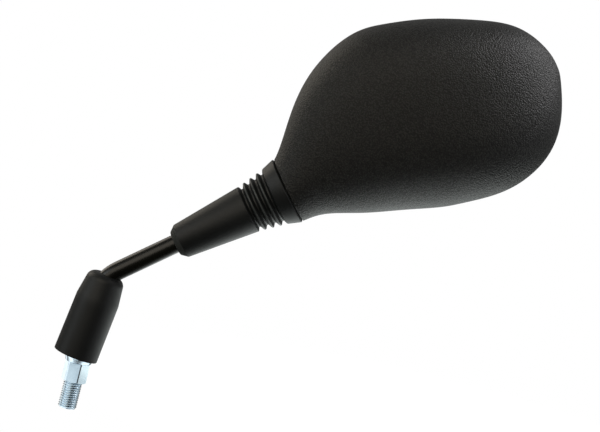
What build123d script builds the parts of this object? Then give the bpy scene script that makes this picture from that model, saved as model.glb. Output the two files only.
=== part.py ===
"""Left-hand motorcycle mirror: a bent rod on a threaded stud, carrying a hollow head on a ball joint.

Millimetres. The origin lies on the stud's axis, on the underside of its hexagon, which seats on the
handlebar clamp. +Z runs up the stud, the arm leans out towards +X and the glass faces +Y.
"""

import math
import os

from build123d import *

# Stud adaptor: thread, hexagon, conical flare and the sleeve that takes the rod
stud_thread_diameter = 10.0
stud_thread_length = 14.7
stud_thread_chamfer = 0.9
hex_across_flats = 12.0
hex_corner_round = 0.9
hex_height = 10.8
flare_height = 2.4
sleeve_diameter = 15.6
sleeve_height = 11.6
sleeve_bore_depth = 13.0
corner_chamfer_angle = 30.0
edge_break = 0.6

# Bent rod and its lock nut
rod_diameter = 10.0
rod_foot_gap = 0.5
bend_height = 56.2
bend_radius = 25.0
rod_rise = 40.0
seam_distance = 111.8
thread_clearance = 0.1
lock_nut_across_flats = 14.0
lock_nut_height = 8.0

# Rubber boot over the lock nut, pushed askew by the bend
stem_boot_lean = 7.5
stem_boot_offset = -2.27
stem_boot_height = 14.15
stem_boot_length = 46.3
stem_boot_diameter = 24.0
stem_boot_taper_start = 32.0
stem_boot_taper_end = 42.0
stem_boot_waist_diameter = 23.5
stem_boot_shoulder_diameter = 20.6
stem_boot_shoulder_radius = 4.4
stem_boot_wall = 1.6
stem_boot_top = 3.0
boot_grip_clearance = 0.1

# Ball joint, on the neck axis past the seam
ball_diameter = 16.0
ball_inset = 8.0
ball_neck_diameter = 7.0
ball_tail_flat = 1.0
ball_fit = 0.02
ball_clearance = 0.05
liner_thickness = 1.5
liner_clearance = 0.05
neck_liner_span = (54.0, 86.0)
cap_liner_span = (22.0, 50.0)
mouth_polar_angle = 52.0
swing_range = 10.0
twist_range = 30.0
swing_margin = 0.9

# Clamp that holds the ball in its socket
clamp_seat_distance = 6.0
clamp_thickness = 1.5
screw_diameter = 2.9
screw_length = 13.0
screw_head_diameter = 5.6
screw_head_height = 2.0
screw_wall = 0.9
screw_clearance = 0.1
ear_margin = 0.4
washer_diameter = 5.4
washer_thickness = 0.5
washer_cone_height = 0.4

# Bellows boot between the rod and the head
neck_boot_length = 66.4
neck_boot_tip_diameter = 13.4
neck_boot_tip_chamfer = 3.3
cone_small_diameter = 18.8
cone_large_diameter = 26.0
cone_end_distance = 23.6
fold_count = 3
fold_lead = 1.45
fold_depth = 2.2
crest_flat = 0.8
valley_flat = 0.9
fold_round = 0.4
collar_length = 8.2
collar_small_diameter = 31.8
collar_step = 0.3
collar_chamfer = 0.45
collar_wall = 1.6
boot_wall = 1.3
cone_wall = 1.8
seam_gap = 0.3
spigot_clearance = 0.25

# Moulded head, measured along the neck axis from the seam; its rim and heel rise from the neck's side
neck_diameter = 35.8
head_length = 155.6
crown_height = 59.7
belly_depth = 49.5
back_height = 25.0
equator_depth = 9.0
front_depth = 33.0
rim_rise = 0.9
heel_rise = 0.91
neck_blend_length = 50.0
section_power = 2.4
wall = 2.5
rim_round = 0.8
rib_thickness = 1.8
rib_stations = (58.0, 92.0, 122.0)
rib_clear_length = 12.0

# Glass behind the turned-in rim
lip_thickness = 1.2
lip_overlap = 1.2
glass_inset = 5.6
glass_heel = 31.0
glass_thickness = 2.0
glass_radius = 1200.0
glass_gap = 0.3
pad_thickness = 2.0
pad_inset = 6.0

# Shapes of the head's outlines, as shares of its length and of the heights above
crown_shape = (
    (0.096, 0.551), (0.257, 0.881), (0.418, 1.0), (0.643, 0.868), (0.836, 0.621), (0.964, 0.328), (0.994, 0.13),
)
belly_shape = (
    (0.064, 0.386), (0.16, 0.511), (0.30, 0.695), (0.482, 0.899), (0.675, 1.0), (0.86, 0.829), (0.94, 0.556),
    (0.978, 0.325), (0.9955, 0.125),
)
back_shape = ((0.20, 0.86), (0.48, 1.0), (0.78, 0.74), (0.94, 0.22))
heel_share = 0.11
front_shape = ((0.24, 0.83), (0.42, 1.0), (0.74, 0.99), (0.90, 0.82), (0.97, 0.60))
section_count = 12
glass_stations = (0.36, 0.50, 0.64, 0.76, 0.86, 0.93)
section_points = 8
outline_steps = 20

# Frame of the neck axis: along the rod, across it in the arm's plane, and out of the head's back
rise = math.radians(rod_rise)
neck_direction = Vector(math.cos(rise), 0, math.sin(rise))
across_direction = Vector(-math.sin(rise), 0, math.cos(rise))
bend_apex = Vector(0, 0, bend_height)
seam_center = bend_apex + neck_direction * seam_distance
neck_plane = Plane(origin=seam_center, x_dir=across_direction, z_dir=neck_direction)
plan_plane = Plane(origin=seam_center, x_dir=neck_direction, z_dir=(0, -1, 0))
neck_axis = Axis(seam_center, neck_direction)
ball_plane = neck_plane.offset(ball_inset)
ball_center = seam_center + neck_direction * ball_inset

# Sizes that several pieces share
rod_radius = rod_diameter / 2
ball_radius = ball_diameter / 2
liner_inner_radius = ball_radius + ball_clearance
liner_outer_radius = liner_inner_radius + liner_thickness
socket_radius = liner_outer_radius + liner_clearance
bulkhead_along = ball_inset + clamp_seat_distance
screw_ring_radius = socket_radius + screw_wall + screw_diameter / 2
spigot_radius = collar_small_diameter / 2 - collar_wall - spigot_clearance
sleeve_top = hex_height + flare_height + sleeve_height
rim_depth = neck_diameter / 2 + rim_rise
lip_back_depth = rim_depth - lip_thickness
glass_edge_depth = lip_back_depth - glass_gap
glass_center_across = (crown_height - belly_depth) / 2
glass_center_along = (glass_heel + head_length - glass_inset) / 2


def hex_envelope(flat_width, bottom, top):
    """Face that turns into the chamfered bar a hexagon of this width is cut from."""
    flat_radius = flat_width / 2
    corner_radius = flat_width / math.sqrt(3)
    drop = (corner_radius - flat_radius) * math.tan(math.radians(corner_chamfer_angle))
    with BuildSketch(Plane.XZ, mode=Mode.PRIVATE) as envelope:
        Polygon(
            (0, bottom),
            (flat_radius, bottom),
            (corner_radius, bottom + drop),
            (corner_radius, top - drop),
            (flat_radius, top),
            (0, top),
            align=None,
        )
    return envelope.sketch


# Stud adaptor: the hexagon is cut first, chamfered below only, then the turned parts are added to it
thread_radius = stud_thread_diameter / 2
sleeve_radius = sleeve_diameter / 2
with BuildPart() as threaded_stud:
    with BuildSketch() as hexagon:
        RegularPolygon(hex_across_flats / 2, 6, major_radius=False)
        fillet(hexagon.vertices(), hex_corner_round)
    extrude(amount=hex_height)
    add(hex_envelope(hex_across_flats, 0, hex_height + flare_height))
    revolve(axis=Axis.Z, mode=Mode.INTERSECT)
    with BuildSketch(Plane.XZ):
        Polygon(
            (0, -stud_thread_length),
            (thread_radius - stud_thread_chamfer, -stud_thread_length),
            (thread_radius, -stud_thread_length + stud_thread_chamfer),
            (thread_radius, 0),
            (thread_radius, hex_height - edge_break),
            (hex_across_flats / 2, hex_height - edge_break),
            (hex_across_flats / math.sqrt(3), hex_height),
            (sleeve_radius, hex_height + flare_height),
            (sleeve_radius, sleeve_top - edge_break),
            (sleeve_radius - edge_break, sleeve_top),
            (0, sleeve_top),
            align=None,
        )
    revolve(axis=Axis.Z)
    with Locations((0, 0, sleeve_top)):
        Hole(rod_radius + thread_clearance / 2, depth=sleeve_bore_depth)

# Lock nut on the sleeve's end
with BuildPart() as lock_nut:
    with BuildSketch(Plane.XY.offset(sleeve_top)):
        RegularPolygon(lock_nut_across_flats / 2, 6, major_radius=False)
        Circle(rod_radius + thread_clearance / 2, mode=Mode.SUBTRACT)
    extrude(amount=lock_nut_height)
    add(hex_envelope(lock_nut_across_flats, sleeve_top, sleeve_top + lock_nut_height))
    revolve(axis=Axis.Z, mode=Mode.INTERSECT)

# Bent rod, from its foot in the sleeve to the ball's flat, with the turned end that carries the ball
rod_foot = sleeve_top - sleeve_bore_depth + rod_foot_gap
ball_flat_distance = math.sqrt(ball_radius**2 - rod_radius**2)
ball_tail_distance = ball_radius - ball_tail_flat
rod_shoulder = ball_center - neck_direction * ball_flat_distance


def rod_sweep(radius):
    """Bar of this radius along the rod's centre line, foot to shoulder."""
    with BuildLine(Plane.XZ) as center_line:
        FilletPolyline(
            (0, rod_foot),
            (0, bend_height),
            (rod_shoulder.X, rod_shoulder.Z),
            radius=bend_radius,
        )
    with BuildSketch(Plane.XY.offset(rod_foot)) as bar_section:
        Circle(radius)
    return sweep(bar_section.sketch, path=center_line.line, mode=Mode.PRIVATE)


with BuildPart() as stem_rod:
    add(rod_sweep(rod_radius))
    chamfer(stem_rod.edges().filter_by(GeomType.CIRCLE).sort_by(Axis.Z)[0], edge_break)
    with BuildSketch(ball_plane.offset(-ball_flat_distance)):
        Circle(ball_neck_diameter / 2)
    extrude(amount=ball_flat_distance + ball_tail_distance)

# Ball, bored through and faced on both ends
with BuildPart(ball_plane) as swivel_ball:
    Sphere(ball_radius)
    split(bisect_by=ball_plane.offset(-ball_flat_distance), keep=Keep.TOP)
    split(bisect_by=ball_plane.offset(ball_tail_distance), keep=Keep.BOTTOM)
    Hole(ball_neck_diameter / 2 + ball_fit)


def liner_face(span, toward):
    """Half section of a liner: a spherical zone between two polar angles, towards the head or the rod."""
    first, last = span
    start = first if toward > 0 else 180 - last
    with BuildSketch(plan_plane, mode=Mode.PRIVATE) as zone:
        with BuildLine():
            inner = CenterArc((ball_inset, 0), liner_inner_radius, start, last - first)
            outer = CenterArc((ball_inset, 0), liner_outer_radius, start, last - first)
            Line(inner @ 0, outer @ 0)
            Line(inner @ 1, outer @ 1)
        make_face()
    return zone.sketch


# Nylon liners either side of the ball
with BuildPart() as neck_liner:
    add(liner_face(neck_liner_span, -1))
    revolve(axis=neck_axis)

with BuildPart() as cap_liner:
    add(liner_face(cap_liner_span, 1))
    revolve(axis=neck_axis)

# Pressed clamp plate: a flange with two ears, domed over the cap liner
clamp_plane = neck_plane.offset(bulkhead_along)
dome_radius = socket_radius + clamp_thickness
dome_foot_radius = math.sqrt(dome_radius**2 - clamp_seat_distance**2)
ear_radius = screw_head_diameter / 2 + ear_margin
screw_spots = [(screw_ring_radius, 0), (-screw_ring_radius, 0)]
with BuildPart() as clamp_plate:
    with BuildSketch(clamp_plane):
        with Locations(*screw_spots):
            Circle(ear_radius)
        Circle(dome_foot_radius)
        make_hull()
    extrude(amount=clamp_thickness)
    with BuildSketch(plan_plane):
        with Locations((ball_inset, 0)):
            Circle(dome_radius)
        with Locations((bulkhead_along, 0)):
            Rectangle(dome_radius, dome_radius, align=(Align.MIN, Align.MIN), mode=Mode.INTERSECT)
    revolve(axis=neck_axis)
    with Locations(ball_plane):
        Sphere(socket_radius, mode=Mode.SUBTRACT)
    with BuildSketch(clamp_plane):
        with Locations(*screw_spots):
            Circle(screw_diameter / 2 + screw_clearance)
    extrude(amount=clamp_thickness, mode=Mode.SUBTRACT)

# Conical spring washers and pan-head screws, one pair on each ear
washer_plane = clamp_plane.offset(clamp_thickness)
washer_height = washer_thickness + washer_cone_height
head_plane = washer_plane.offset(washer_height)
washer_bore = screw_diameter / 2 + screw_clearance
with BuildPart() as spring_washers:
    for across, _ in screw_spots:
        with BuildSketch(plan_plane):
            foot = bulkhead_along + clamp_thickness
            Polygon(
                (foot, across + washer_diameter / 2),
                (foot + washer_thickness, across + washer_diameter / 2),
                (foot + washer_height, across + washer_bore),
                (foot + washer_cone_height, across + washer_bore),
                align=None,
            )
        revolve(axis=Axis(seam_center + across_direction * across, neck_direction))

with BuildPart() as clamp_screws:
    with BuildSketch(head_plane):
        with Locations(*screw_spots):
            Circle(screw_head_diameter / 2)
    extrude(amount=screw_head_height)
    fillet(clamp_screws.edges().group_by(Axis(seam_center, neck_direction))[-1], edge_break)
    with BuildSketch(head_plane):
        with Locations(*screw_spots):
            Circle(screw_diameter / 2)
    extrude(amount=-screw_length)

# Bellows boot: sleeve on the rod, cone, folds, and a collar over the head's spigot
fold_pitch = (cone_end_distance - collar_length - 2 * fold_lead) / fold_count


def fold_crest_radius(along):
    """Radius of the folds' crests, which widen evenly from the cone to the collar."""
    share = (along + cone_end_distance) / (cone_end_distance - collar_length)
    return (cone_large_diameter + (collar_small_diameter - cone_large_diameter) * share) / 2


fold_line = [(-cone_end_distance, cone_large_diameter / 2)]
crests = []
for fold in range(fold_count + 1):
    valley = -cone_end_distance + fold_lead + fold_pitch * fold
    for corner in (valley - valley_flat / 2, valley + valley_flat / 2):
        fold_line.append((corner, fold_crest_radius(valley) - fold_depth))
    if fold < fold_count:
        crest = valley + fold_pitch / 2
        for corner in (crest - crest_flat / 2, crest + crest_flat / 2):
            crests.append((corner, fold_crest_radius(crest)))
        fold_line += crests[-2:]
fold_line.append((-collar_length, collar_small_diameter / 2))
bore_line = [(along, radius - boot_wall) for along, radius in fold_line[1:-1]]
tip_end = -neck_boot_length + neck_boot_tip_chamfer
grip_radius = rod_radius + boot_grip_clearance
grip_end = tip_end + neck_boot_tip_chamfer
collar_bore_radius = spigot_radius + spigot_clearance
collar_large_radius = neck_diameter / 2 + collar_step
with BuildPart() as neck_boot:
    with BuildSketch(plan_plane) as boot_section:
        with BuildLine():
            Polyline(
                (-neck_boot_length, grip_radius),
                (-neck_boot_length, neck_boot_tip_diameter / 2),
                (tip_end, cone_small_diameter / 2),
                *fold_line,
                (-seam_gap - collar_chamfer, collar_large_radius),
                (-seam_gap, collar_large_radius - collar_chamfer),
                (-seam_gap, collar_bore_radius),
                (-collar_length, collar_bore_radius),
                *reversed(bore_line),
                (-cone_end_distance, cone_large_diameter / 2 - cone_wall),
                (grip_end, cone_small_diameter / 2 - cone_wall),
                (grip_end, grip_radius),
                close=True,
            )
        make_face()
        fillet([boot_section.vertices().sort_by_distance(crest)[0] for crest in crests], fold_round)
    revolve(axis=neck_axis)

# Boot over the lock nut: a tapering cap with rounded shoulders, pierced by the bent rod
lean = math.radians(stem_boot_lean)
boot_foot = Vector(stem_boot_offset, 0, stem_boot_height)
boot_direction = Vector(math.sin(lean), 0, math.cos(lean))
boot_plane = Plane(origin=boot_foot, x_dir=(math.cos(lean), 0, -math.sin(lean)), z_dir=(0, -1, 0))
with BuildPart() as stem_boot:
    with BuildSketch(boot_plane):
        with BuildLine():
            Polyline(
                (0, 0),
                (stem_boot_diameter / 2, 0),
                (stem_boot_waist_diameter / 2, stem_boot_taper_start),
                (stem_boot_shoulder_diameter / 2, stem_boot_taper_end),
                (stem_boot_shoulder_diameter / 2 - edge_break, stem_boot_length),
                (0, stem_boot_length),
                close=True,
            )
        make_face()
    revolve(axis=Axis(boot_foot, boot_direction))
    fillet(
        stem_boot.edges().filter_by(GeomType.CIRCLE).sort_by(Axis(boot_foot, boot_direction))[-1],
        stem_boot_shoulder_radius,
    )
    with BuildSketch(boot_plane):
        Polygon(
            (0, 0),
            (stem_boot_diameter / 2 - stem_boot_wall, 0),
            (stem_boot_waist_diameter / 2 - stem_boot_wall, stem_boot_taper_start),
            (stem_boot_shoulder_diameter / 2 - stem_boot_wall, stem_boot_taper_end),
            (stem_boot_shoulder_diameter / 2 - stem_boot_wall, stem_boot_length - stem_boot_top),
            (0, stem_boot_length - stem_boot_top),
            align=None,
        )
    revolve(axis=Axis(boot_foot, boot_direction), mode=Mode.SUBTRACT)
    add(rod_sweep(rod_radius + boot_grip_clearance), mode=Mode.SUBTRACT)


def outline_edge(start, shape, height, start_slope, side, tip_height=0.0):
    """Spline from the neck to the tip, drawn with x along the neck axis and y away from it."""
    points = [(along * head_length, side * share * height) for along, share in shape]
    with BuildLine(mode=Mode.PRIVATE) as outline:
        Spline(
            (0, side * start),
            *points,
            (head_length, tip_height),
            tangents=((1, side * start_slope), (0, -side)),
        )
    return outline.edge()


crown_edge = outline_edge(neck_diameter / 2, crown_shape, crown_height, 0.75, 1)
belly_edge = outline_edge(neck_diameter / 2, belly_shape, belly_depth, 0.05, -1)
back_edge = outline_edge(neck_diameter / 2, back_shape, back_height, 0.10, 1, -equator_depth)
heel_point = (heel_share, (neck_diameter / 2 + heel_rise) / front_depth)
front_edge = outline_edge(neck_diameter / 2, (heel_point, *front_shape), front_depth, 0.02, -1, -equator_depth)


def share_at(edge, along):
    """Share of an outline edge's run at which it stands this far along the neck."""
    low, high = 0.0, 1.0
    for _ in range(40):
        middle = (low + high) / 2
        if (edge @ middle).X < along:
            low = middle
        else:
            high = middle
    return low


def head_section(along, inset):
    """Points of the closed section at one station, drawn inward by the inset."""
    up = (crown_edge @ share_at(crown_edge, along)).Y
    down = (belly_edge @ share_at(belly_edge, along)).Y
    back = (back_edge @ share_at(back_edge, along)).Y
    front = (front_edge @ share_at(front_edge, along)).Y
    blend = min(along / neck_blend_length, 1.0)
    blend = blend * blend * (3 - 2 * blend)
    equator = -equator_depth * blend
    power = 2 / (2 + (section_power - 2) * blend)
    points = []
    for step in range(section_points):
        turn = 2 * math.pi * step / section_points
        cosine, sine = math.cos(turn), math.sin(turn)
        depth = (back - equator if sine > 0 else equator - front) - inset
        half_width = (up - down) / 2 - inset
        points.append((
            (up + down) / 2 + half_width * math.copysign(abs(cosine) ** power, cosine),
            equator + depth * math.copysign(abs(sine) ** power, sine),
        ))
    return points


def head_skin(inset, first_along):
    """Solid inside the head's skin, drawn inward by the inset, from one station to the tip."""
    run = head_length - first_along
    reach = (run - inset) / run
    sections = []
    for step in range(section_count):
        advance = run * (1 - math.cos(math.pi * step / section_count)) / 2
        with BuildSketch(neck_plane.offset(first_along + advance * reach)) as section:
            with BuildLine():
                Spline(*head_section(first_along + advance, inset), periodic=True)
            make_face()
        sections.append(section.sketch.face())
    tip = neck_plane.from_local_coords(Vector(0, -equator_depth, head_length - inset))
    return loft(sections + [Vertex(tip)], mode=Mode.PRIVATE)


def inset_point(edge, along, inset):
    """Point of a plan outline at one station, moved square to it into the head."""
    share = share_at(edge, along)
    point, tangent = edge @ share, edge % share
    side = -1 if point.Y > 0 else 1
    return (point.X - side * tangent.Y * inset, point.Y + side * tangent.X * inset)


def glass_outline():
    """Glass's outline: inside the head's plan outline, with a rounded heel short of the neck."""
    stations = [share * head_length for share in glass_stations]
    crown_side = [inset_point(crown_edge, along, glass_inset) for along in stations]
    belly_side = [inset_point(belly_edge, along, glass_inset) for along in stations]
    tip = (head_length - glass_inset, 0)
    with BuildLine(mode=Mode.PRIVATE) as outline:
        Spline((glass_heel, glass_center_across), *crown_side, tip, *reversed(belly_side), periodic=True)
    return outline.edge()


# The lens stands highest over its middle, and clears the lip where its edge comes nearest to the middle
glass_edge = glass_outline()
outline_shares = [step / outline_steps for step in range(outline_steps)]
glass_middle = Vector(glass_center_along, glass_center_across)
glass_short_reach = min((glass_edge @ share - glass_middle).length for share in outline_shares)
glass_crown_depth = glass_edge_depth + glass_short_reach**2 / (2 * glass_radius)
pad_back_depth = glass_crown_depth - glass_thickness - pad_thickness


def glass_prism(growth, front, back):
    """Prism of the glass's outline, grown or shrunk, between two depths in front of the neck axis."""
    points = []
    for share in outline_shares:
        place, run = glass_edge @ share, glass_edge % share
        points.append((place.X - run.Y * growth, place.Y + run.X * growth))
    with BuildSketch(plan_plane.offset(-front)) as outline:
        with BuildLine():
            Spline(*points, periodic=True)
        make_face()
    return extrude(outline.sketch, amount=front - back, mode=Mode.PRIVATE)


def lens_ball(drop):
    """Ball whose front is the glass's front surface, lowered by the drop."""
    depth = glass_crown_depth - glass_radius
    middle = plan_plane.from_local_coords(Vector(glass_center_along, glass_center_across, -depth))
    return Pos(middle) * Sphere(glass_radius - drop, mode=Mode.PRIVATE)


# Hollow of the head: inside the walls, past the bulkhead and behind the turned-in lip
with BuildPart() as hollow:
    add(head_skin(wall, bulkhead_along))
    split(bisect_by=plan_plane.offset(-lip_back_depth), keep=Keep.TOP)

# Ribs across and along the hollow, level with the back of the pad they carry
with BuildPart() as ribs:
    with BuildSketch(plan_plane):
        for station in rib_stations:
            with Locations((station, 0)):
                Rectangle(rib_thickness, 2 * head_length)
        with Locations((bulkhead_along + rib_clear_length, glass_center_across)):
            Rectangle(head_length, rib_thickness, align=(Align.MIN, Align.CENTER))
    extrude(amount=head_length, both=True)
    add(hollow.part, mode=Mode.INTERSECT)
    split(bisect_by=plan_plane.offset(-pad_back_depth), keep=Keep.TOP)

# Head moulding: lofted skin with a flat rim, hollow inside, and the ball socket in its neck. The mouth of the
# socket clears the rod with both swings at their ends and the head twisted, where the two swings add up most.
spigot_end = -collar_length + seam_gap
swing, twist = math.radians(swing_range), math.radians(twist_range)
combined_swing = math.acos(math.cos(swing) ** 2 - math.sin(swing) ** 2 * math.sin(twist))
mouth_reach = ball_inset - spigot_end
mouth_radius = rod_radius / math.cos(combined_swing) + mouth_reach * math.tan(combined_swing) + swing_margin
mouth_edge = math.radians(mouth_polar_angle)
with BuildPart() as housing:
    add(head_skin(0, 0))
    split(bisect_by=plan_plane.offset(-rim_depth), keep=Keep.TOP)
    fillet(housing.faces().sort_by(Axis.Y)[-1].edges(), rim_round)
    add(hollow.part, mode=Mode.SUBTRACT)
    add(ribs.part)
    add(glass_prism(-lip_overlap, rim_depth, lip_back_depth), mode=Mode.SUBTRACT)
    add(glass_prism(glass_gap, lip_back_depth, pad_back_depth), mode=Mode.SUBTRACT)
    with BuildSketch(neck_plane.offset(spigot_end)):
        Circle(spigot_radius)
    extrude(amount=bulkhead_along - spigot_end)
    with BuildSketch(plan_plane):
        Polygon(
            (spigot_end, 0),
            (spigot_end, mouth_radius),
            (ball_inset - socket_radius * math.cos(mouth_edge), socket_radius * math.sin(mouth_edge)),
            (ball_inset, 0),
            align=None,
        )
    revolve(axis=neck_axis, mode=Mode.SUBTRACT)
    with Locations(ball_plane):
        Sphere(socket_radius, mode=Mode.SUBTRACT)
    with BuildSketch(ball_plane):
        Circle(socket_radius)
    extrude(amount=clamp_seat_distance, mode=Mode.SUBTRACT)
    with BuildSketch(clamp_plane):
        with Locations(*screw_spots):
            Circle(screw_diameter / 2 + screw_clearance / 2)
    extrude(amount=-screw_length, mode=Mode.SUBTRACT)

# Convex glass behind the lip, and the foam pad that bonds it to the ribs
with BuildPart() as mirror_glass:
    add(glass_prism(0, glass_crown_depth, pad_back_depth))
    add(lens_ball(0), mode=Mode.INTERSECT)
    add(lens_ball(glass_thickness), mode=Mode.SUBTRACT)

with BuildPart() as glass_pad:
    add(glass_prism(-pad_inset, glass_crown_depth, pad_back_depth))
    add(lens_ball(glass_thickness), mode=Mode.INTERSECT)

pieces = {
    "threaded_stud": threaded_stud,
    "lock_nut": lock_nut,
    "stem_rod": stem_rod,
    "stem_boot": stem_boot,
    "swivel_ball": swivel_ball,
    "neck_boot": neck_boot,
    "neck_liner": neck_liner,
    "cap_liner": cap_liner,
    "clamp_plate": clamp_plate,
    "spring_washers": spring_washers,
    "clamp_screws": clamp_screws,
    "housing": housing,
    "mirror_glass": mirror_glass,
    "glass_pad": glass_pad,
}
os.makedirs("parts", exist_ok=True)
for name, piece in pieces.items():
    piece.part.label = name
    export_step(piece.part, f"parts/{name}.step")
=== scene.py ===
"""Looks of a left-hand motorcycle mirror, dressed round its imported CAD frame.

All of it stands in the CAD's frame: the origin on the stud's axis under its hexagon, +Z up the stud, the
arm towards +X and the glass facing +Y. The mirror's own sizes are millimetres, turned to metres as a piece
is made. The table, the lights and the camera are placed in metres.
"""

import math

import bmesh
import bpy
from mathutils import Matrix, Vector


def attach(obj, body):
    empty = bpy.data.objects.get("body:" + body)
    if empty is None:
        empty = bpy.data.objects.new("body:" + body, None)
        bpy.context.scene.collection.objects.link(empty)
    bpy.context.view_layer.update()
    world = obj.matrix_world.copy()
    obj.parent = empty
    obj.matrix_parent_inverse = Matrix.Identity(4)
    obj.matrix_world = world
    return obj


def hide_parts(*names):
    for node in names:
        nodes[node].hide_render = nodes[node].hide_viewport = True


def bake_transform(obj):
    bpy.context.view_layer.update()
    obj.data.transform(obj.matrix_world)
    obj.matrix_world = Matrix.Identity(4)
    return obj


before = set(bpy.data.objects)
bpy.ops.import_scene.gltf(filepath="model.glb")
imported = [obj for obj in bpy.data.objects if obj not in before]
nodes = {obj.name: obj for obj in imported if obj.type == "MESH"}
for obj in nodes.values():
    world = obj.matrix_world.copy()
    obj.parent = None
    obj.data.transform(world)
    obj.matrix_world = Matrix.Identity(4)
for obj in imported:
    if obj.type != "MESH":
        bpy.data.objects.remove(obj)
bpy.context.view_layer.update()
MM = 0.001

# Stud: metric thread under the hexagon, 0.6134 of its pitch deep, with a relief groove between the two.
# The CAD's plain shank is cut off at stud_cut, and the thread laps into the groove.
thread_radius = 5.0
thread_pitch = 1.25
thread_depth = 0.6134 * thread_pitch
thread_end = -14.7
thread_chamfer = 0.8
thread_lap = 0.05
thread_runout = 0.5
thread_steps = 64
spare_turns = 1.5
relief_radius = 4.1
relief_length = 0.5
stud_cut = -0.02
stud_smooth_angle = 25.0
hex_turn = math.radians(-6.0)

# Half of a thread's outline, from its root to its crest: share of the pitch, and height before it is
# stretched to the thread's depth
thread_flank = [
    (0.0, 0.0), (0.05, 0.0), (0.11, 0.04), (0.22, 0.25),
    (0.32, 0.42), (0.38, 0.50), (0.44, 0.545), (0.5, 0.56),
]

# Neck axis: up the rod from the bend to the seam between boot and head
rod_rise = math.radians(40.0)
bend_height = 56.2
seam_distance = 111.8
along_neck = Vector((math.cos(rod_rise), 0, math.sin(rod_rise)))
across_neck = Vector((-math.sin(rod_rise), 0, math.cos(rod_rise)))
seam = Vector((0, 0, bend_height)) + along_neck * seam_distance
neck_axes = Matrix((across_neck, along_neck.cross(across_neck), along_neck)).transposed().to_4x4()
neck_frame = Matrix.Scale(MM, 4) @ Matrix.Translation(seam) @ neck_axes

# Bellows boot, measured along the neck from the seam
tip_start = -66.4
tip_end = -63.1
tip_radius = 6.7
tip_rounding = 0.3
shoulder_rounding = 0.25
cone_small_radius = 9.4
cone_end = -23.6
cone_large_radius = 13.0
cone_rounding = 0.45
cone_wall = 1.8
collar_start = -8.2
collar_end = -0.5
collar_small_radius = 15.9
collar_large_radius = 18.2
collar_chamfer = 0.7
collar_rounding = 0.4
collar_edge_rounding = 0.12
fold_count = 3
fold_lead = 1.45
fold_depth = 2.2
crest_flat = 0.8
crest_rounding = 0.38
valley_flat = 0.9
valley_rounding = 0.22
boot_wall = 1.3
rod_grip_radius = 5.1
spigot_grip_radius = 14.3
boot_steps = 128
rounding_segments = 4

# Places of the finishes: how deep the crests are rubbed and painted lighter as a painted highlight, and the
# cosines, to the neck and to the glass's axis, by which a face is a trimmed end with a painted highlight or a
# silvered one
rubbed_and_highlit_depth = 0.2
trimmed_and_highlit_facing = -0.4
silvered_facing = 0.7

# Points this near count as one: metres on the CAD's meshes, millimetres on what is spun
cad_merge = 2e-6
cad_sliver = 1e-6
spun_merge = 1e-4
spun_near = 1e-3

# Sockets of a Mix node, which has a set for each kind of value
FACTOR = 0
NUMBER_A, NUMBER_B = 2, 3
VECTOR_A, VECTOR_B = 4, 5
COLOUR_A, COLOUR_B = 6, 7
NUMBER_OUT, VECTOR_OUT, COLOUR_OUT = 0, 1, 2

# Length over which a Wave texture repeats at a scale of 1
wave_length = 2 * math.pi / 20


def linear(code):
    """Linear colour of an sRGB hex code."""
    shares = [int(code[place:place + 2], 16) / 255 for place in (1, 3, 5)]
    return [s / 12.92 if s <= 0.04045 else ((s + 0.055) / 1.055) ** 2.4 for s in shares] + [1.0]


def per_mm(size):
    """Texture scale, in metres, for a pattern that repeats about every so many millimetres."""
    return 1 / (size * MM)


def node(tree, kind, inputs=None, **settings):
    """Adds a node, with its settings, and feeds its sockets from values or from other sockets."""
    made = tree.nodes.new(kind)
    for name, value in settings.items():
        setattr(made, name, value)
    for socket, value in (inputs or {}).items():
        if isinstance(value, bpy.types.NodeSocket):
            tree.links.new(value, made.inputs[socket])
        else:
            made.inputs[socket].default_value = value
    return made


def finish_of(name, **constants):
    """Material with one shader, its constant sockets set; gives its tree, shader and object coordinates."""
    material = bpy.data.materials.new(name)
    material.use_nodes = True
    tree = material.node_tree
    shader = tree.nodes["Principled BSDF"]
    for socket, value in constants.items():
        shader.inputs[socket.replace("_", " ").title().replace("Ior", "IOR")].default_value = value
    place = node(tree, "ShaderNodeTexCoord").outputs["Object"]
    return material, tree, shader, place


def piece(name, bm, materials, body, replaced, smooth_angle=35.0):
    """Object from a bmesh, smooth but for its sharp edges, riding on a body in place of a CAD node.

    A piece with no body of its own is left on no body.
    """
    bm.normal_update()
    for face in bm.faces:
        face.smooth = True
    for edge in bm.edges:
        edge.smooth = len(edge.link_faces) == 2 and edge.calc_face_angle(0) < math.radians(smooth_angle)
    mesh = bpy.data.meshes.new(name)
    bm.to_mesh(mesh)
    bm.free()
    made = bpy.data.objects.new(name, mesh)
    bpy.context.scene.collection.objects.link(made)
    for material in materials:
        mesh.materials.append(material)
    if body:
        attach(made, body)
    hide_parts(replaced)
    return made


def cad_copy(name):
    """Bmesh of a CAD node's own mesh, with its loose triangles merged."""
    bm = bmesh.new()
    bm.from_mesh(nodes[name].data)
    bmesh.ops.remove_doubles(bm, verts=bm.verts, dist=cad_merge)
    bmesh.ops.dissolve_degenerate(bm, edges=bm.edges, dist=cad_sliver)
    return bm


def cut_off(bm, level, facing):
    """Cuts a bmesh level at a height, and keeps the side that it faces, up or down."""
    bmesh.ops.bisect_plane(
        bm, geom=bm.verts[:] + bm.edges[:] + bm.faces[:], plane_co=(0, 0, level), plane_no=(0, 0, facing),
        clear_inner=True,
    )


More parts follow.
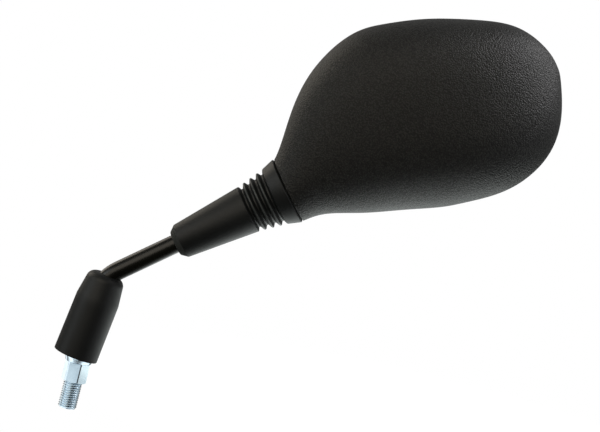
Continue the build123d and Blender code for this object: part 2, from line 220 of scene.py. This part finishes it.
# Bright zinc plate with a blue passivation: a hard white shine, cool in the shade, with fine lathe lines.
# The lathe's feed is about 0.2 mm; the lines are drawn 0.69 mm apart so that they show.
zinc, tree, shader, place = finish_of("zinc_plate_blue_passivated", metallic=1.0)
cloud = node(tree, "ShaderNodeTexNoise", {"Vector": place, "Scale": per_mm(5), "Detail": 4.0})
tint = node(
    tree, "ShaderNodeMix",
    {FACTOR: cloud.outputs["Fac"], COLOUR_A: linear("#cdd8de"), COLOUR_B: linear("#aebdc7")},
    data_type="RGBA",
)
rough = node(tree, "ShaderNodeMapRange", {"Value": cloud.outputs["Fac"], "To Min": 0.16, "To Max": 0.30})
lathe = node(
    tree, "ShaderNodeTexWave",
    {"Vector": place, "Scale": wave_length * per_mm(0.69), "Distortion": 1.5, "Detail": 2.0},
    bands_direction="Z",
)
lines = node(
    tree, "ShaderNodeBump", {"Height": lathe.outputs["Fac"], "Strength": 0.12, "Distance": 0.02 * MM}
)
tree.links.new(tint.outputs[COLOUR_OUT], shader.inputs["Base Color"])
tree.links.new(rough.outputs["Result"], shader.inputs["Roughness"])
tree.links.new(lines.outputs["Normal"], shader.inputs["Normal"])

# Stoved black enamel on drawn steel: wet-looking bands of light along the rod, with a faint orange peel
enamel, tree, shader, place = finish_of("stoved_black_enamel", ior=1.50)
drift = node(tree, "ShaderNodeTexNoise", {"Vector": place, "Scale": per_mm(14), "Detail": 3.0})
tint = node(
    tree, "ShaderNodeMix",
    {FACTOR: drift.outputs["Fac"], COLOUR_A: linear("#0c0c07"), COLOUR_B: linear("#15150d")},
    data_type="RGBA",
)
rough = node(tree, "ShaderNodeMapRange", {"Value": drift.outputs["Fac"], "To Min": 0.20, "To Max": 0.32})
peel = node(tree, "ShaderNodeTexNoise", {"Vector": place, "Scale": per_mm(1.6), "Detail": 1.0})
skin = node(tree, "ShaderNodeBump", {"Height": peel.outputs["Fac"], "Strength": 0.10, "Distance": 0.05 * MM})
tree.links.new(tint.outputs[COLOUR_OUT], shader.inputs["Base Color"])
tree.links.new(rough.outputs["Result"], shader.inputs["Roughness"])
tree.links.new(skin.outputs["Normal"], shader.inputs["Normal"])

# Moulded rubber, satin: soft wide highlights, a faint bloom that greys it in patches, and a fine tooth
rubber, tree, shader, place = finish_of("moulded_rubber_satin", ior=1.50)
bloom = node(
    tree, "ShaderNodeTexNoise", {"Vector": place, "Scale": per_mm(16), "Detail": 5.0, "Roughness": 0.6}
)
tint = node(
    tree, "ShaderNodeMix",
    {FACTOR: bloom.outputs["Fac"], COLOUR_A: linear("#0c0e0e"), COLOUR_B: linear("#181b1b")},
    data_type="RGBA",
)
rough = node(tree, "ShaderNodeMapRange", {"Value": bloom.outputs["Fac"], "To Min": 0.44, "To Max": 0.60})
tooth = node(tree, "ShaderNodeTexNoise", {"Vector": place, "Scale": per_mm(0.7), "Detail": 2.0})
skin = node(tree, "ShaderNodeBump", {"Height": tooth.outputs["Fac"], "Strength": 0.12, "Distance": 0.05 * MM})
tree.links.new(tint.outputs[COLOUR_OUT], shader.inputs["Base Color"])
tree.links.new(rough.outputs["Result"], shader.inputs["Roughness"])
tree.links.new(skin.outputs["Normal"], shader.inputs["Normal"])

# Trimmed end of a rubber moulding: dull grey and dry, with a coarse tooth. Its lighter grey is partly the
# trimmed rubber's own and partly a painted highlight, where the tip's end catches light
trimmed_and_highlit, tree, shader, place = finish_of("trimmed_rubber_edge_painted_highlight", roughness=0.75, ior=1.50)
tooth = node(tree, "ShaderNodeTexNoise", {"Vector": place, "Scale": per_mm(0.9), "Detail": 3.0})
tint = node(
    tree, "ShaderNodeMix",
    {FACTOR: tooth.outputs["Fac"], COLOUR_A: linear("#2a2c2b"), COLOUR_B: linear("#404341")},
    data_type="RGBA",
)
skin = node(tree, "ShaderNodeBump", {"Height": tooth.outputs["Fac"], "Strength": 0.2, "Distance": 0.08 * MM})
tree.links.new(tint.outputs[COLOUR_OUT], shader.inputs["Base Color"])
tree.links.new(skin.outputs["Normal"], shader.inputs["Normal"])

# Rubbed rubber on the crests of the folds: greyer and a little shinier than the faces between them. The
# lighter grey is partly wear and partly a painted highlight, where the rounded crests catch light
rubbed_and_highlit, tree, shader, place = finish_of("rubbed_rubber_crest_painted_highlight", ior=1.50)
rub = node(tree, "ShaderNodeTexNoise", {"Vector": place, "Scale": per_mm(3), "Detail": 4.0})
tint = node(
    tree, "ShaderNodeMix",
    {FACTOR: rub.outputs["Fac"], COLOUR_A: linear("#343837"), COLOUR_B: linear("#505453")},
    data_type="RGBA",
)
rough = node(tree, "ShaderNodeMapRange", {"Value": rub.outputs["Fac"], "To Min": 0.34, "To Max": 0.52})
tree.links.new(tint.outputs[COLOUR_OUT], shader.inputs["Base Color"])
tree.links.new(rough.outputs["Result"], shader.inputs["Roughness"])

# Moulded polypropylene with an etched leather grain: dull black that sparkles finely where light grazes it.
# The etched cells are about 0.6 mm wide; they are drawn at 0.8 mm so that they show. Their raised tops are
# painted lighter, partly as wear, and their valleys darker, as painted shade.
cell_bend = 0.4 * MM
pebble_share = 0.45
patch_share = 0.3
grained, tree, shader, place = finish_of("moulded_polypropylene_leather_grain", ior=1.49)
warp = node(tree, "ShaderNodeTexNoise", {"Vector": place, "Scale": per_mm(1.4), "Detail": 2.0})
bent = node(
    tree, "ShaderNodeMix", {FACTOR: cell_bend, VECTOR_A: place, VECTOR_B: warp.outputs["Color"]},
    data_type="VECTOR", clamp_factor=False,
)
cells = node(
    tree, "ShaderNodeTexVoronoi",
    {"Vector": bent.outputs[VECTOR_OUT], "Scale": per_mm(0.8), "Smoothness": 0.35}, feature="SMOOTH_F1",
)
pebble = node(tree, "ShaderNodeTexNoise", {"Vector": place, "Scale": per_mm(0.45), "Detail": 1.0})
depth = node(
    tree, "ShaderNodeMath", {0: pebble.outputs["Fac"], 1: pebble_share, 2: cells.outputs["Distance"]},
    operation="MULTIPLY_ADD",
)
grain = node(
    tree, "ShaderNodeBump", {"Height": depth.outputs["Value"], "Strength": 1.0, "Distance": 0.28 * MM},
    invert=True,
)
patch = node(tree, "ShaderNodeTexNoise", {"Vector": place, "Scale": per_mm(38), "Detail": 3.0})
# Colour by the grain's height: lighter on the raised tops, partly wear, and darker in the valleys as painted
# shade
raised_wear_and_valley_shade = node(
    tree, "ShaderNodeMapRange",
    {"Value": depth.outputs["Value"], "From Min": 0.3, "From Max": 0.8, "To Min": 0.9, "To Max": -0.1},
    clamp=False,
)
wear_and_painted_shade = node(
    tree, "ShaderNodeMath", {0: patch.outputs["Fac"], 1: patch_share, 2: raised_wear_and_valley_shade.outputs["Result"]},
    operation="MULTIPLY_ADD",
)
tint = node(
    tree, "ShaderNodeMix",
    {FACTOR: wear_and_painted_shade.outputs["Value"], COLOUR_A: linear("#0c0c0b"), COLOUR_B: linear("#30312e")},
    data_type="RGBA",
)
rough = node(tree, "ShaderNodeMapRange", {"Value": depth.outputs["Value"], "To Min": 0.42, "To Max": 0.58})
tree.links.new(tint.outputs[COLOUR_OUT], shader.inputs["Base Color"])
tree.links.new(rough.outputs["Result"], shader.inputs["Roughness"])
tree.links.new(grain.outputs["Normal"], shader.inputs["Normal"])

# Silvered convex glass, polished: a sharp, very slightly grey reflection, unevenly clouded by its silvering
silvered, tree, shader, place = finish_of("silvered_glass_polished", metallic=1.0, roughness=0.0)
haze = node(tree, "ShaderNodeTexNoise", {"Vector": place, "Scale": per_mm(22), "Detail": 4.0})
tint = node(
    tree, "ShaderNodeMix",
    {FACTOR: haze.outputs["Fac"], COLOUR_A: linear("#dfe4e4"), COLOUR_B: linear("#d2d9da")},
    data_type="RGBA",
)
tree.links.new(tint.outputs[COLOUR_OUT], shader.inputs["Base Color"])

# Ground edge of the glass: pale green and frosted by the wheel
ground_edge, tree, shader, place = finish_of("ground_glass_edge", ior=1.52)
grit = node(tree, "ShaderNodeTexNoise", {"Vector": place, "Scale": per_mm(0.5), "Detail": 3.0})
tint = node(
    tree, "ShaderNodeMix",
    {FACTOR: grit.outputs["Fac"], COLOUR_A: linear("#6f8c82"), COLOUR_B: linear("#a9bfb7")},
    data_type="RGBA",
)
rough = node(tree, "ShaderNodeMapRange", {"Value": grit.outputs["Fac"], "To Min": 0.35, "To Max": 0.6})
tree.links.new(tint.outputs[COLOUR_OUT], shader.inputs["Base Color"])
tree.links.new(rough.outputs["Result"], shader.inputs["Roughness"])

# Closed-cell foam tape: matt charcoal, pitted by its cut cells
foam, tree, shader, place = finish_of("polyethylene_foam_tape", roughness=0.9, ior=1.45)
pits = node(tree, "ShaderNodeTexVoronoi", {"Vector": place, "Scale": per_mm(0.6)})
tint = node(
    tree, "ShaderNodeMix",
    {FACTOR: pits.outputs["Distance"], COLOUR_A: linear("#1d1d1d"), COLOUR_B: linear("#3a3a3a")},
    data_type="RGBA",
)
cut = node(
    tree, "ShaderNodeBump", {"Height": pits.outputs["Distance"], "Strength": 0.5, "Distance": 0.2 * MM}
)
tree.links.new(tint.outputs[COLOUR_OUT], shader.inputs["Base Color"])
tree.links.new(cut.outputs["Normal"], shader.inputs["Normal"])

# Natural nylon, moulded: milky and slightly translucent, with a soft shine
nylon, tree, shader, place = finish_of(
    "natural_nylon_moulded", ior=1.53, subsurface_weight=0.25,
    subsurface_radius=(1.2 * MM, 1.0 * MM, 0.7 * MM),
)
milk = node(tree, "ShaderNodeTexNoise", {"Vector": place, "Scale": per_mm(4), "Detail": 3.0})
tint = node(
    tree, "ShaderNodeMix",
    {FACTOR: milk.outputs["Fac"], COLOUR_A: linear("#d8d2c0"), COLOUR_B: linear("#ebe7db")},
    data_type="RGBA",
)
rough = node(tree, "ShaderNodeMapRange", {"Value": milk.outputs["Fac"], "To Min": 0.35, "To Max": 0.5})
tree.links.new(tint.outputs[COLOUR_OUT], shader.inputs["Base Color"])
tree.links.new(rough.outputs["Result"], shader.inputs["Roughness"])

# Pressed and turned steel, oiled: mid grey, streaked by drawing and tumbling
steel, tree, shader, place = finish_of("tumbled_steel_oiled", metallic=1.0)
streak = node(
    tree, "ShaderNodeTexNoise", {"Vector": place, "Scale": per_mm(1.8), "Detail": 5.0, "Roughness": 0.65}
)
tint = node(
    tree, "ShaderNodeMix",
    {FACTOR: streak.outputs["Fac"], COLOUR_A: linear("#8b8d8f"), COLOUR_B: linear("#b9bbbd")},
    data_type="RGBA",
)
rough = node(tree, "ShaderNodeMapRange", {"Value": streak.outputs["Fac"], "To Min": 0.25, "To Max": 0.45})
tree.links.new(tint.outputs[COLOUR_OUT], shader.inputs["Base Color"])
tree.links.new(rough.outputs["Result"], shader.inputs["Roughness"])


# Threaded stud: the CAD's hexagon, flare and sleeve, cut off under the hexagon, with a relief groove there
stud_body = cad_copy("threaded_stud")
cut_off(stud_body, stud_cut * MM, 1)
rim = [edge for edge in stud_body.edges if edge.is_boundary]
for level in (stud_cut, stud_cut - relief_length):
    grown = bmesh.ops.extrude_edge_only(stud_body, edges=rim)["geom"]
    rim = [part for part in grown if isinstance(part, bmesh.types.BMEdge)]
    for vert in [part for part in grown if isinstance(part, bmesh.types.BMVert)]:
        flat = vert.co.xy.normalized() * relief_radius * MM
        vert.co = (flat.x, flat.y, level * MM)
bmesh.ops.recalc_face_normals(stud_body, faces=stud_body.faces)
bmesh.ops.rotate(stud_body, verts=stud_body.verts, cent=(0, 0, 0), matrix=Matrix.Rotation(hex_turn, 3, "Z"))

# Its thread: a real helix, spun past both ends and cut off level, chamfered below and run out above
thread = bmesh.new()
root_radius = thread_radius - thread_depth
thread_top = thread_lap - relief_length
lowest = thread_end - spare_turns * thread_pitch
turns = math.ceil(-lowest / thread_pitch) + 1
crest_height = thread_flank[-1][1]
falling = [(1 - along, height) for along, height in reversed(thread_flank[:-1])]
verts = [
    thread.verts.new((root_radius + height * thread_depth / crest_height, 0, lowest + along * thread_pitch))
    for along, height in thread_flank + falling
]
edges = [thread.edges.new(pair) for pair in zip(verts, verts[1:])]
bmesh.ops.spin(
    thread, geom=verts + edges, cent=(0, 0, 0), axis=(0, 0, 1), dvec=(0, 0, thread_pitch / thread_steps),
    angle=2 * math.pi * turns, steps=thread_steps * turns,
)
bmesh.ops.remove_doubles(thread, verts=thread.verts, dist=spun_near)
for level, facing in ((thread_end, 1), (thread_top, -1)):
    cut_off(thread, level, facing)
    ends = [
        edge for edge in thread.edges if edge.is_boundary and abs(edge.verts[0].co.z - level) < spun_merge
    ]
    bmesh.ops.edgenet_fill(thread, edges=ends)
for vert in thread.verts:
    below = thread_end + thread_chamfer - vert.co.z
    above = vert.co.z - thread_top + thread_runout
    limit = thread_radius - max(below, above, 0.0)
    if vert.co.xy.length > limit:
        vert.co.xy = vert.co.xy.normalized() * limit
bmesh.ops.recalc_face_normals(thread, faces=thread.faces)
thread.transform(Matrix.Scale(MM, 4))
thread_mesh = bpy.data.meshes.new("thread")
thread.to_mesh(thread_mesh)
thread.free()
stud_body.from_mesh(thread_mesh)
bpy.data.meshes.remove(thread_mesh)
stud = piece(
    "stud", stud_body, [zinc], "base", "threaded_stud", smooth_angle=stud_smooth_angle
)


def crest_radius(along):
    """Radius of the folds' crests, which widen evenly from the cone to the collar."""
    share = (along - cone_end) / (collar_start - cone_end)
    return cone_large_radius + (collar_small_radius - cone_large_radius) * share


def spun_on_neck(profile):
    """Closed ring spun from (along, radius, rounding) points, its rounded edges bevelled, set on the neck."""
    bm = bmesh.new()
    verts = [bm.verts.new((radius, 0, along)) for along, radius, _ in profile]
    edges = [bm.edges.new(pair) for pair in zip(verts, verts[1:] + verts[:1])]
    bmesh.ops.spin(
        bm, geom=verts + edges, cent=(0, 0, 0), axis=(0, 0, 1), angle=2 * math.pi, steps=boot_steps,
        use_merge=True,
    )
    bmesh.ops.remove_doubles(bm, verts=bm.verts, dist=spun_merge)
    bmesh.ops.recalc_face_normals(bm, faces=bm.faces)
    for along, radius, rounding in profile:
        if rounding:
            corner = {
                vert for vert in bm.verts
                if abs(vert.co.z - along) < spun_near and abs(vert.co.xy.length - radius) < spun_near
            }
            bmesh.ops.bevel(
                bm, geom=[edge for edge in bm.edges if corner.issuperset(edge.verts)], offset=rounding,
                offset_type="OFFSET", affect="EDGES", segments=rounding_segments, profile=0.5, material=-1,
                clamp_overlap=True,
            )
    bm.transform(neck_frame)
    return bm


def mark_boot(bm):
    """Gives the trimmed end of the cone's tip and the rubbed crests of the folds their own finishes, both
    painted lighter grey as a painted highlight.
    """
    bm.normal_update()
    to_neck = neck_frame.inverted()
    for face in bm.faces:
        middle = to_neck @ face.calc_center_median()
        among_folds = cone_end + fold_lead < middle.z < collar_start - fold_lead
        # Faces at the tip's end get the trimmed finish, painted lighter grey partly as a painted highlight
        if middle.z < tip_end and face.normal.dot(along_neck) < trimmed_and_highlit_facing:
            face.material_index = boot_finishes.index(trimmed_and_highlit)
        # Crest faces get the rubbed finish, whose lighter grey is partly wear and partly a painted highlight
        elif among_folds and middle.xy.length > crest_radius(middle.z) - rubbed_and_highlit_depth:
            face.material_index = boot_finishes.index(rubbed_and_highlit)
    return bm


# Bellows boot in two pieces that meet in a ring round the neck, where the head swings and twists; neither
# piece rides on a body
boot_finishes = [rubber, trimmed_and_highlit, rubbed_and_highlit]
fold_pitch = (collar_start - cone_end - 2 * fold_lead) / fold_count
fold_line = []
for fold in range(fold_count + 1):
    valley = cone_end + fold_lead + fold_pitch * fold
    floor_radius = crest_radius(valley) - fold_depth
    if fold == fold_count - 1:
        ring_along, ring_radius = valley, floor_radius
        lower_count = len(fold_line) + 1
    for side in (-1, 1):
        fold_line.append((valley + side * valley_flat / 2, floor_radius, valley_rounding))
    if fold < fold_count:
        crest = valley + fold_pitch / 2
        for side in (-1, 1):
            fold_line.append((crest + side * crest_flat / 2, crest_radius(crest), crest_rounding))
bore_line = [(along, radius - boot_wall, 0) for along, radius, _ in fold_line]
ring_outside = (ring_along, ring_radius, 0)
ring_inside = (ring_along, ring_radius - boot_wall, 0)
grip_end = 2 * tip_end - tip_start

cone_profile = [
    (tip_start, rod_grip_radius, 0),
    (tip_start, tip_radius, tip_rounding),
    (tip_end, cone_small_radius, shoulder_rounding),
    (cone_end, cone_large_radius, cone_rounding),
    *fold_line[:lower_count],
    ring_outside,
    ring_inside,
    *reversed(bore_line[:lower_count]),
    (cone_end, cone_large_radius - cone_wall, 0),
    (grip_end, cone_small_radius - cone_wall, 0),
    (grip_end, rod_grip_radius, 0),
]
bm = mark_boot(spun_on_neck(cone_profile))
boot_cone = piece("neck_boot_cone", bm, boot_finishes, None, "neck_boot")
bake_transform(boot_cone)

collar_profile = [
    ring_inside,
    ring_outside,
    *fold_line[lower_count:],
    (collar_start, collar_small_radius, collar_rounding),
    (collar_end - collar_chamfer, collar_large_radius, collar_edge_rounding),
    (collar_end, collar_large_radius - collar_chamfer, 0),
    (collar_end, spigot_grip_radius, 0),
    (collar_start, spigot_grip_radius, 0),
    *reversed(bore_line[lower_count:]),
]
bm = mark_boot(spun_on_neck(collar_profile))
boot_collar = piece("neck_boot_collar", bm, boot_finishes, None, "neck_boot")
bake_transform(boot_collar)

# Pieces whose CAD shape is already the real one get their finish, smooth but for their sharp edges
for name, replaced, material, body, slot in (
    ("stem_boot_cap", "stem_boot", rubber, "arm", "boot_rubber"),
    ("housing_finished", "housing", grained, "head", "grained_plastic"),
    ("stem_rod_finished", "stem_rod", enamel, "arm", "black_paint"),
    ("lock_nut_finished", "lock_nut", zinc, "arm", "zinc_plate"),
    ("swivel_ball_finished", "swivel_ball", steel, "arm", "bare_steel"),
    ("neck_liner_finished", "neck_liner", nylon, "liner_neck", "nylon"),
    ("cap_liner_finished", "cap_liner", nylon, "liner_cap", "nylon"),
    ("clamp_plate_finished", "clamp_plate", zinc, "head", "zinc_plate"),
    ("spring_washers_finished", "spring_washers", steel, "head", "bare_steel"),
    ("clamp_screws_finished", "clamp_screws", zinc, "head", "zinc_plate"),
):
    piece(name, cad_copy(replaced), [material], body, replaced)

# Glass: silvered on its faces, ground round its edge
glass_finishes = [silvered, ground_edge]
bm = cad_copy("mirror_glass")
bm.normal_update()
for face in bm.faces:
    finish = silvered if abs(face.normal.y) > silvered_facing else ground_edge
    face.material_index = glass_finishes.index(finish)
glass = piece("convex_glass", bm, glass_finishes, "head", "mirror_glass")

# Foam pad that bonds the glass to the ribs
pad = piece("foam_pad", cad_copy("glass_pad"), [foam], "head", "glass_pad")

# Shooting table of opal acrylic, lit from below: a pale floor that fades out into the white round it
table_middle = Vector((0.24, 0.17, -0.0151))
table_radius = 0.27
table_solid_radius = 0.12
table_segments = 96
bm = bmesh.new()
bmesh.ops.create_circle(bm, cap_ends=True, segments=table_segments, radius=table_radius)
bmesh.ops.translate(bm, verts=bm.verts, vec=table_middle)
table_mesh = bpy.data.meshes.new("shooting_table")
bm.to_mesh(table_mesh)
bm.free()
shooting_table = bpy.data.objects.new("shooting_table", table_mesh)
bpy.context.scene.collection.objects.link(shooting_table)
opal, tree, shader, place = finish_of(
    "opal_acrylic_lit_below", roughness=0.6, ior=1.49, base_color=linear("#f4f5f5"),
    emission_color=linear("#f0faf7"), emission_strength=1.6,
)
centred = node(tree, "ShaderNodeVectorMath", {0: place, 1: table_middle}, operation="SUBTRACT")
reach = node(tree, "ShaderNodeVectorMath", {0: centred.outputs["Vector"]}, operation="LENGTH")
fade = node(
    tree, "ShaderNodeMapRange",
    {"Value": reach.outputs["Value"], "From Min": table_solid_radius, "From Max": table_radius,
     "To Min": 1.0, "To Max": 0.0},
    interpolation_type="SMOOTHSTEP",
)
tree.links.new(fade.outputs["Result"], shader.inputs["Alpha"])
table_mesh.materials.append(opal)

# Studio: plain white as seen, a glow that is dim towards the lens and the floor, and for the sharp mirror a
# room that is dark below and light above
world = bpy.data.worlds.new("studio")
bpy.context.scene.world = world
world.use_nodes = True
tree = world.node_tree
direction = node(tree, "ShaderNodeTexCoord").outputs["Generated"]
split_direction = node(tree, "ShaderNodeSeparateXYZ", {0: direction})
glow = node(
    tree, "ShaderNodeMapRange",
    {"Value": split_direction.outputs["Y"], "From Min": -0.1, "From Max": 0.9,
     "To Min": 0.05, "To Max": 0.22},
)
rise = node(
    tree, "ShaderNodeMapRange",
    {"Value": split_direction.outputs["Z"], "From Min": -0.4, "From Max": 0.1,
     "To Min": 0.35, "To Max": 1.3},
)
graded = node(
    tree, "ShaderNodeMath", {0: glow.outputs["Result"], 1: rise.outputs["Result"]}, operation="MULTIPLY"
)
mirrored = node(
    tree, "ShaderNodeMapRange",
    {"Value": split_direction.outputs["Z"], "From Min": -0.3, "From Max": 0.35,
     "To Min": 0.16, "To Max": 0.85},
    interpolation_type="SMOOTHSTEP",
)
ray = node(tree, "ShaderNodeLightPath").outputs
around = node(
    tree, "ShaderNodeMix",
    {FACTOR: ray["Is Singular Ray"], NUMBER_A: graded.outputs["Value"], NUMBER_B: mirrored.outputs["Result"]},
    data_type="FLOAT",
)
strength = node(
    tree, "ShaderNodeMix",
    {FACTOR: ray["Is Camera Ray"], NUMBER_A: around.outputs[NUMBER_OUT], NUMBER_B: 1.0}, data_type="FLOAT",
)
surround = tree.nodes["Background"]
surround.inputs["Color"].default_value = linear("#ffffff")
tree.links.new(strength.outputs[NUMBER_OUT], surround.inputs["Strength"])


def soft_box(name, position, target, width, height, watts, colour, lit):
    """Rectangular area light aimed at a point, flagged so that it lights only a collection."""
    light = bpy.data.lights.new(name, "AREA")
    light.shape = "RECTANGLE"
    light.size, light.size_y = width, height
    light.energy = watts
    light.color = linear(colour)[:3]
    lamp = bpy.data.objects.new(name, light)
    lamp.visible_camera = False
    lamp.light_linking.receiver_collection = lit
    lamp.location = position
    lamp.rotation_euler = (Vector(target) - Vector(position)).to_track_quat("-Z", "Y").to_euler()
    bpy.context.scene.collection.objects.link(lamp)


# Soft boxes above and to both sides, kept off the glass, where they would show as hard white bands:
# name, place, aim, width, height, watts and colour
all_but_glass = bpy.data.collections.new("all_but_glass")
all_but_glass.objects.link(glass)
all_but_glass.collection_objects[0].light_linking.link_state = "EXCLUDE"
for box in (
    ("front_box", (-0.35, -1.05, 0.72), (0.12, 0.0, 0.15), 1.2, 1.2, 5.6, "#fff5e4"),
    ("right_box", (0.75, 0.05, 0.86), (0.17, 0.0, 0.17), 0.4, 0.4, 6.3, "#fbfafc"),
    ("low_right_box", (0.90, -0.30, 0.08), (0.20, 0.0, 0.17), 0.4, 0.4, 0.55, "#f4f6fa"),
    ("left_box", (-0.80, -0.35, 0.25), (0.05, 0.0, 0.10), 0.5, 0.6, 1.6, "#f2f6f6"),
    ("back_left_box", (-0.66, 0.55, 0.48), (0.10, 0.0, 0.18), 0.6, 0.6, 2.1, "#fff5e4"),
):
    soft_box(*box, all_but_glass)

# Small cards round the stud that light it alone, so that its bright plate has white to reflect
stud_only = bpy.data.collections.new("stud_only")
stud_only.objects.link(stud)
for card in (
    ("stud_front_card", (-0.032, -0.12, -0.045), (0.0, 0.0, -0.01), 0.06, 0.09, 0.02, "#e8f4fa"),
    ("stud_side_card", (-0.125, -0.075, -0.045), (0.0, 0.0, -0.01), 0.2, 0.09, 0.11, "#f4f8fa"),
    ("stud_left_card", (-0.26, 0.23, -0.065), (0.0, 0.0, 0.0), 0.2, 0.2, 0.2, "#f4f8fa"),
    ("stud_right_card", (0.24, 0.14, -0.03), (0.0, 0.0, 0.0), 0.2, 0.15, 0.11, "#eef6fa"),
    ("stud_floor_card", (0.01, 0.02, -0.10), (0.01, 0.02, 0.0), 0.32, 0.2, 0.45, "#eef6fa"),
):
    soft_box(*card, stud_only)

# Camera at the photograph's place: square to the housing's back, a little above it and rolled
image_width = 600
image_scale = 0.5284 * MM
distance = 1.0
elevation = math.radians(5.0)
roll = math.radians(14.67)
target = Vector((94.74, 0, 116.25)) * MM
forward = Vector((0, math.cos(elevation), -math.sin(elevation)))
level_right = Vector((1, 0, 0))
level_up = level_right.cross(forward)
right = level_right * math.cos(roll) + level_up * math.sin(roll)
up = level_up * math.cos(roll) - level_right * math.sin(roll)
lens = bpy.data.cameras.new("camera")
lens.sensor_fit = "HORIZONTAL"
lens.sensor_width = 36.0
lens.lens = lens.sensor_width * distance / (image_width * image_scale)
lens.clip_start = 0.01
camera = bpy.data.objects.new("camera", lens)
camera_axes = Matrix((right, up, -forward)).transposed().to_4x4()
camera.matrix_world = Matrix.Translation(target - forward * distance) @ camera_axes
bpy.context.scene.collection.objects.link(camera)
bpy.context.scene.camera = camera
bpy.context.scene.view_settings.view_transform = "Standard"
